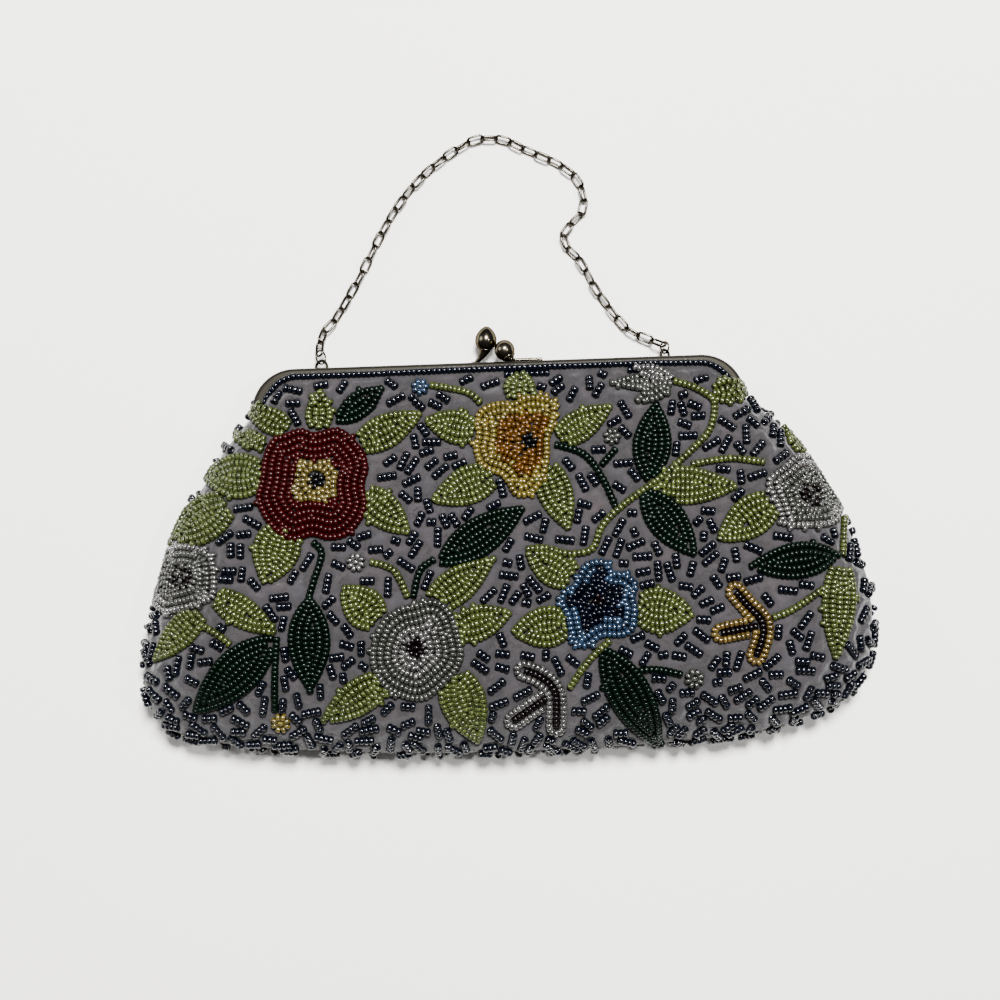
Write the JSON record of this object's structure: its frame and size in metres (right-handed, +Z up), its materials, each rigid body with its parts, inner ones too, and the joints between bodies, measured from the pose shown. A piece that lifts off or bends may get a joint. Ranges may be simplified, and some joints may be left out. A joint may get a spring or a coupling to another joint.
{
  "type": "beaded clutch",
  "caption": "Wide puffed evening purse with a floral beaded cloth bag, a gunmetal clasp frame with kiss-lock knobs and a fine link chain handle, lying on its back.",
  "frame": {"origin": "bottom centre of the box round the whole purse, on the surface it lies on", "axes": "+X along the clasp frame, +Y from the bag to the chain, +Z up out of the beaded front"},
  "size_m": [0.2284, 0.1944, 0.0269],
  "materials": {
    "cloth": "matt plain weave",
    "gunmetal": "polished gunmetal plate",
    "chain_metal": "polished gunmetal plate"
  },
  "bodies": {
    "root": {"back_panel": "cloth", "front_panel": "cloth", "frame_back": "gunmetal", "frame_front": "gunmetal", "hinge_rivet_left": "gunmetal", "hinge_rivet_right": "gunmetal", "clasp_knob_back": "gunmetal", "clasp_knob_front": "gunmetal", "jump_ring_left": "chain_metal", "jump_ring_right": "chain_metal", "chain": "chain_metal"}
  },
  "joints": []
}
